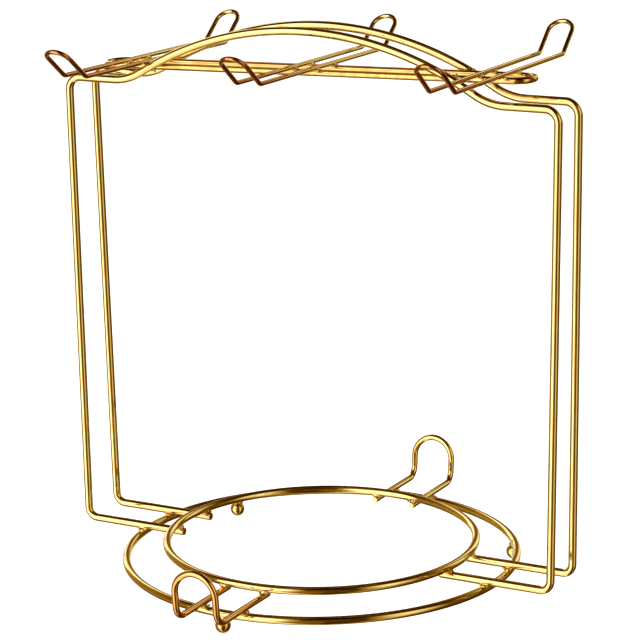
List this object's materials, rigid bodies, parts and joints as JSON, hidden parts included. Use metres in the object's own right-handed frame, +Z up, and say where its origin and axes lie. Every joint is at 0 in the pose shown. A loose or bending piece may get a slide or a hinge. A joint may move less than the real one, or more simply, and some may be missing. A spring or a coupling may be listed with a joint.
{
  "type": "teacup and saucer display rack",
  "caption": "Free-standing wire rack on a round base, with hooks along its top rail for hanging teacups and a ring and upright guards below that hold a stack of saucers.",
  "frame": {"origin": "on the table, under the common centre of the two base rings", "axes": "+X along the two tall hoops, towards the right-hand posts; +Y along the cup hooks, towards the rear; +Z up"},
  "size_m": [0.2314, 0.2139, 0.236],
  "materials": {
    "base_wire": "polished gold-tone plating on round steel wire",
    "hoop_wire": "polished gold-tone plating on round steel wire",
    "guard_wire": "polished gold-tone plating on thinner steel wire",
    "rail_wire": "polished gold-tone plating on thinner steel wire",
    "hook_wire": "polished gold-tone plating on thin steel wire",
    "foot_ball": "polished gold-tone plating on small steel balls",
    "weld_metal": "plated over, bright and a little lumpy"
  },
  "bodies": {
    "root": {"outer_ring": "base_wire", "inner_ring": "base_wire", "foot_front": "foot_ball", "foot_rear_right": "foot_ball", "foot_rear_left": "foot_ball", "hoop_front": "hoop_wire", "hoop_rear": "hoop_wire", "guard_front": "guard_wire", "guard_rear": "guard_wire", "rail_loop": "rail_wire", "hook_left": "hook_wire", "hook_middle": "hook_wire", "hook_right": "hook_wire", "welds_outer_ring": "weld_metal", "welds_inner_ring": "weld_metal", "welds_feet": "weld_metal", "welds_rail_to_hoops": "weld_metal", "welds_hook_left": "weld_metal", "welds_hook_middle": "weld_metal", "welds_hook_right": "weld_metal"}
  },
  "joints": []
}
